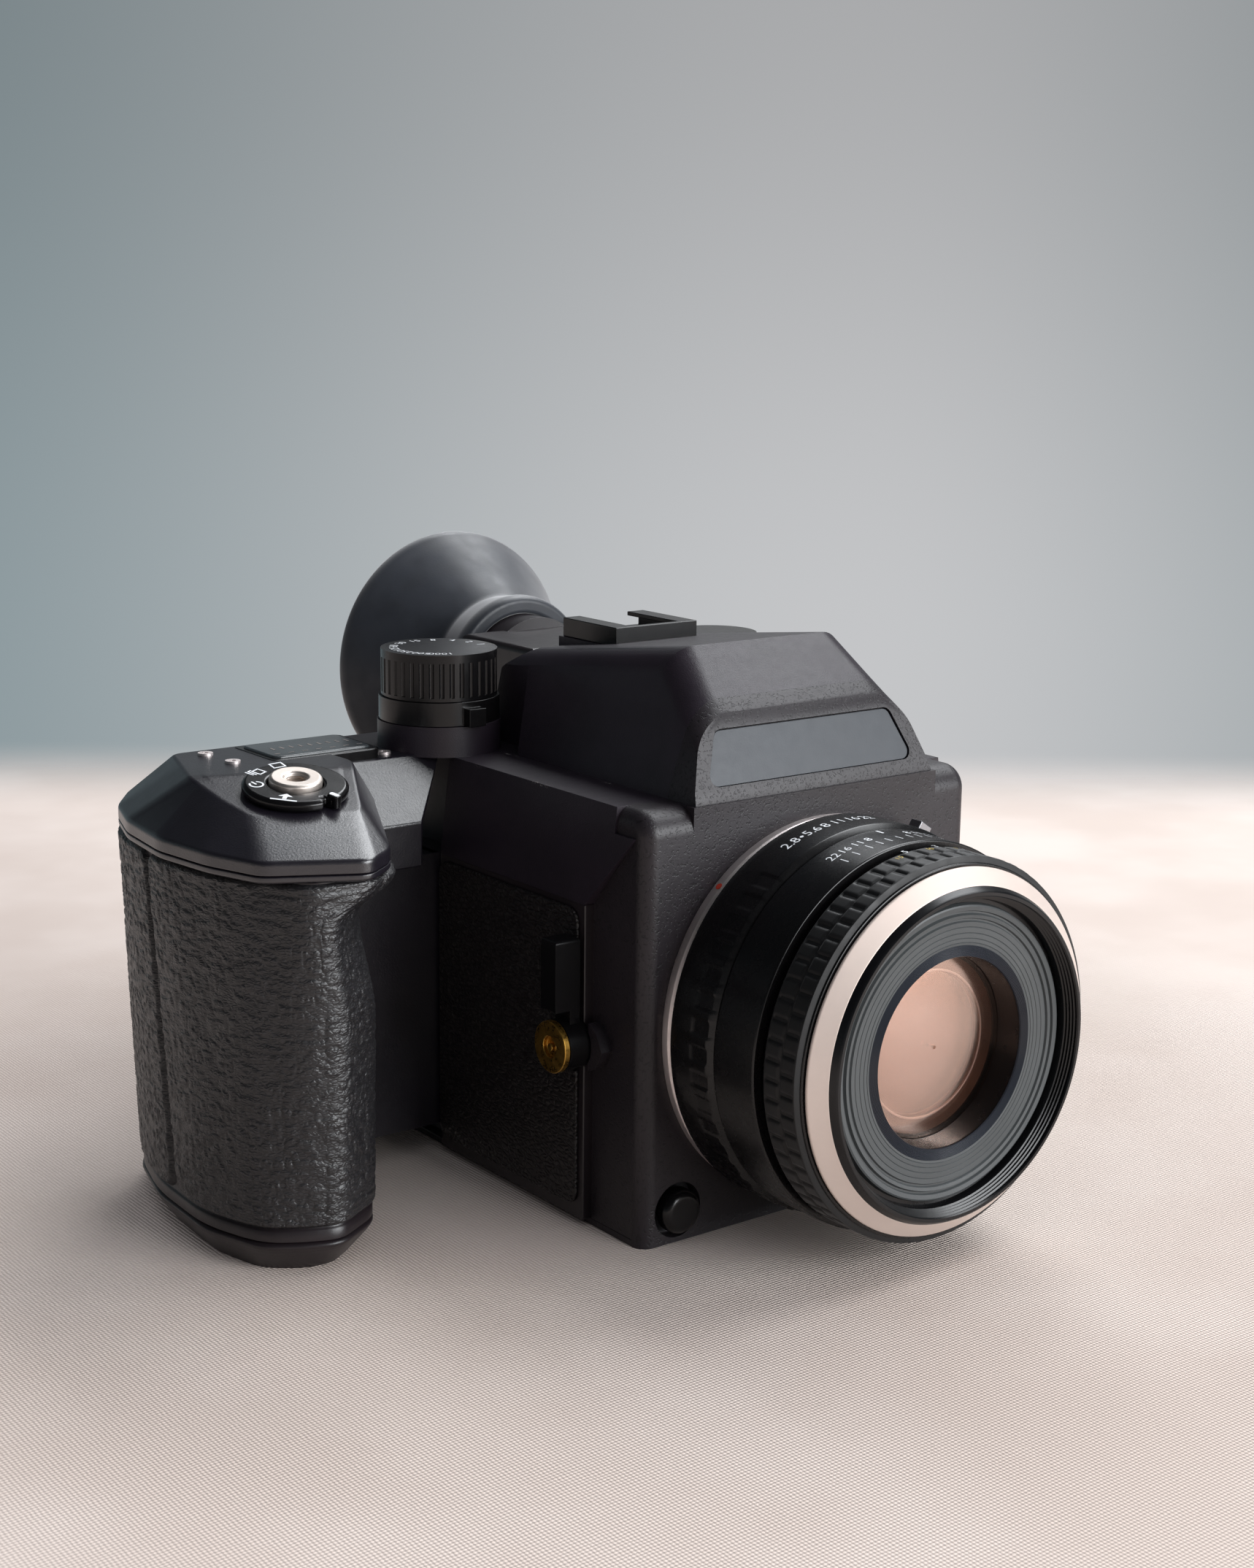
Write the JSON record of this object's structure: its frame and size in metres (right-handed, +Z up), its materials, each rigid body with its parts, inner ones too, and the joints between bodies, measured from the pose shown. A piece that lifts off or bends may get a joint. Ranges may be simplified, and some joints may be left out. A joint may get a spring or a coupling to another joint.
{
  "type": "medium format film camera",
  "caption": "Medium format film SLR camera body with a large side grip, prism hump, round eyecup and a normal lens; focus, aperture, mirror, shutter, film insert and dials move.",
  "frame": {"origin": "mouth of the tripod socket in the base, on the plane that the camera stands on", "axes": "+X to the right of a person who faces the lens, +Y from the lens towards the eyepiece, +Z up"},
  "size_m": [0.158, 0.1715, 0.1224],
  "materials": {
    "body_paint": "fine-grained black paint",
    "casting_metal": "cast, blackened",
    "cover_plastic": "satin black",
    "leather_skin": "fine leather grain",
    "grip_skin": "wrinkled leather grain",
    "steel": "brushed",
    "bright_metal": "satin chrome",
    "button_metal": "satin, slightly warm",
    "trim_silver": "satin champagne",
    "optic_glass": "polished, coated",
    "screen_glass": "ground",
    "display_clear": "clear over grey segments",
    "mirror_glass": "front-silvered",
    "cup_rubber": "smooth soft rubber",
    "control_plastic": "satin black with white marks",
    "brass_screw": "polished",
    "lens_black": "semi-gloss black with white numbers",
    "focus_rubber": "ribbed",
    "blind_black": "matt black",
    "spool_plastic": "moulded black",
    "cell_wrap": "plain wrapped cells"
  },
  "bodies": {
    "camera": {"body_casting": "casting_metal", "front_casing": "body_paint", "grip_side_cover": "cover_plastic", "socket_side_cover": "cover_plastic", "grip_side_leather": "leather_skin", "socket_side_leather": "leather_skin", "base_plate": "casting_metal", "tripod_bushes": "steel", "top_cover": "body_paint", "name_plate": "body_paint", "accessory_shoe": "bright_metal", "pentaprism": "optic_glass", "focusing_screen": "screen_glass", "eyepiece_housing": "body_paint", "eyepiece_lens": "optic_glass", "eyecup": "cup_rubber", "grip_shell": "cover_plastic", "grip_leather": "grip_skin", "grip_cap": "cover_plastic", "deck_screws": "bright_metal", "display_window": "display_clear", "mount_ring": "bright_metal", "preview_screw": "brass_screw", "shutter_frame": "steel", "strap_lugs": "steel", "side_sockets": "bright_metal"},
    "drive_dial": {"drive_dial": "control_plastic"},
    "release_button": {"release_button": "button_metal"},
    "shutter_speed_dial": {"shutter_speed_dial": "control_plastic"},
    "metering_lever": {"metering_lever": "control_plastic"},
    "exposure_dial": {"exposure_dial": "control_plastic"},
    "dioptre_wheel": {"dioptre_wheel": "control_plastic"},
    "lens_release": {"lens_release_button": "control_plastic"},
    "focus_mode_switch": {"focus_mode_switch": "control_plastic"},
    "preview_lever": {"preview_lever": "control_plastic"},
    "lens": {"lens_bayonet": "bright_metal", "lens_barrel": "lens_black", "rear_element": "optic_glass"},
    "aperture_ring": {"aperture_ring": "lens_black"},
    "aperture_lock": {"aperture_lock_button": "control_plastic"},
    "focus_ring": {"focus_ring": "lens_black", "focus_grip": "focus_rubber"},
    "front_barrel": {"front_barrel": "lens_black", "front_trim_ring": "trim_silver", "front_element": "optic_glass"},
    "iris": {"iris_unit": "lens_black"},
    "mirror": {"mirror_frame": "steel", "reflex_mirror": "mirror_glass"},
    "shutter_top": {"shutter_leaf_top": "blind_black"},
    "shutter_mid": {"shutter_leaf_mid": "blind_black"},
    "shutter_low": {"shutter_leaf_low": "blind_black"},
    "film_insert": {"film_insert_frame": "steel", "film_back_cover": "cover_plastic", "pressure_plate": "steel"},
    "feed_spool": {"feed_spool": "spool_plastic"},
    "takeup_spool": {"takeup_spool": "spool_plastic"},
    "film_latch_key": {"film_latch_key": "control_plastic"},
    "battery_tray": {"battery_tray": "cover_plastic", "battery_cells": "cell_wrap"},
    "battery_latch": {"battery_latch": "control_plastic"}
  },
  "joints": [
    {"name": "drive_dial_turn", "type": "hinge", "parent": "camera", "child": "drive_dial", "pos_m": [-0.0866, 0.012, 0.0854], "axis": [-0.0491, -0.1864, 0.9812], "range_deg": [-30, 75]},
    {"name": "release_press", "type": "slide", "parent": "camera", "child": "release_button", "axis": [0.0491, 0.1864, -0.9812], "range_m": [0, 0.0012], "stiffness_N_per_m": 300, "springref_m": -0.001},
    {"name": "speed_dial_turn", "type": "hinge", "parent": "camera", "child": "shutter_speed_dial", "pos_m": [-0.038, 0.038, 0.1], "axis": [0, 0, 1], "range_deg": [-150, 150]},
    {"name": "metering_lever_turn", "type": "hinge", "parent": "camera", "child": "metering_lever", "pos_m": [-0.038, 0.038, 0.093], "axis": [0, 0, 1], "range_deg": [-25, 25]},
    {"name": "exposure_dial_turn", "type": "hinge", "parent": "camera", "child": "exposure_dial", "pos_m": [0.0352, 0.038, 0.097], "axis": [0, 0, 1], "range_deg": [-120, 120]},
    {"name": "dioptre_turn", "type": "hinge", "parent": "camera", "child": "dioptre_wheel", "pos_m": [0.0185, 0.052, 0.096], "axis": [1, 0, 0], "range_deg": [-120, 120]},
    {"name": "lens_release_press", "type": "slide", "parent": "camera", "child": "lens_release", "axis": [0, 1, 0], "range_m": [0, 0.002], "stiffness_N_per_m": 400, "springref_m": -0.001},
    {"name": "focus_switch_turn", "type": "hinge", "parent": "camera", "child": "focus_mode_switch", "pos_m": [0.042, -0.029, 0.022], "axis": [1, 0, 0], "range_deg": [0, 40]},
    {"name": "preview_push", "type": "hinge", "parent": "camera", "child": "preview_lever", "pos_m": [-0.046, -0.0196, 0.0373], "axis": [1, 0, 0], "range_deg": [0, 15], "stiffness_Nm_per_rad": 0.05, "springref_deg": -11.46},
    {"name": "lens_twist", "type": "hinge", "parent": "camera", "child": "lens", "pos_m": [0, -0.038, 0.0418], "axis": [0, -1, 0], "range_deg": [0, 65]},
    {"name": "aperture_turn", "type": "hinge", "parent": "lens", "child": "aperture_ring", "pos_m": [0, -0.047, 0.0418], "axis": [0, 1, 0], "range_deg": [-20, 26]},
    {"name": "aperture_lock_press", "type": "slide", "parent": "aperture_ring", "child": "aperture_lock", "axis": [-0.5519, 0, -0.8339], "range_m": [0, 0.0008], "stiffness_N_per_m": 300, "springref_m": -0.001},
    {"name": "focus_turn", "type": "hinge", "parent": "lens", "child": "focus_ring", "pos_m": [0, -0.069, 0.0418], "axis": [0, -1, 0], "range_deg": [0, 100]},
    {"name": "front_extension", "type": "slide", "parent": "lens", "child": "front_barrel", "axis": [0, -1, 0], "range_m": [0, 0.00801]},
    {"name": "iris_turn", "type": "hinge", "parent": "front_barrel", "child": "iris", "pos_m": [0, -0.0565, 0.0418], "axis": [0, 1, 0], "range_deg": [-20.1, 26.1]},
    {"name": "mirror_swing", "type": "hinge", "parent": "camera", "child": "mirror", "pos_m": [0, 0.022, 0.0618], "axis": [-1, 0, 0], "range_deg": [0, 45]},
    {"name": "shutter_top_run", "type": "slide", "parent": "camera", "child": "shutter_top", "axis": [0, 0, -1], "range_m": [0, 0.0438]},
    {"name": "shutter_mid_run", "type": "slide", "parent": "camera", "child": "shutter_mid", "axis": [0, 0, -1], "range_m": [0, 0.02961]},
    {"name": "shutter_low_run", "type": "slide", "parent": "camera", "child": "shutter_low", "axis": [0, 0, -1], "range_m": [0, 0.01541]},
    {"name": "film_insert_pull", "type": "slide", "parent": "camera", "child": "film_insert", "axis": [0, 1, 0], "range_m": [0, 0.013]},
    {"name": "feed_spool_turn", "type": "hinge", "parent": "film_insert", "child": "feed_spool", "pos_m": [0, 0.044, 0.0186], "axis": [1, 0, 0], "continuous": true},
    {"name": "takeup_spool_turn", "type": "hinge", "parent": "film_insert", "child": "takeup_spool", "pos_m": [0, 0.044, 0.0632], "axis": [1, 0, 0], "continuous": true},
    {"name": "film_key_turn", "type": "hinge", "parent": "film_insert", "child": "film_latch_key", "pos_m": [0.026, 0.061, 0.014], "axis": [0, 1, 0], "range_deg": [0, 90]},
    {"name": "battery_tray_pull", "type": "slide", "parent": "camera", "child": "battery_tray", "axis": [0, 0, -1], "range_m": [0, 0.055]},
    {"name": "battery_latch_turn", "type": "hinge", "parent": "battery_tray", "child": "battery_latch", "pos_m": [-0.088, 0.016, 0.0015], "axis": [0, 0, 1], "range_deg": [0, 90]}
  ],
  "couplings": [
    {"joint": "front_extension", "follows": "focus_turn", "m_per_rad": 0.004584},
    {"joint": "iris_turn", "follows": "aperture_turn", "ratio": 1},
    {"joint": "shutter_mid_run", "follows": "shutter_top_run", "ratio": 0.6758},
    {"joint": "shutter_low_run", "follows": "shutter_top_run", "ratio": 0.3516}
  ]
}
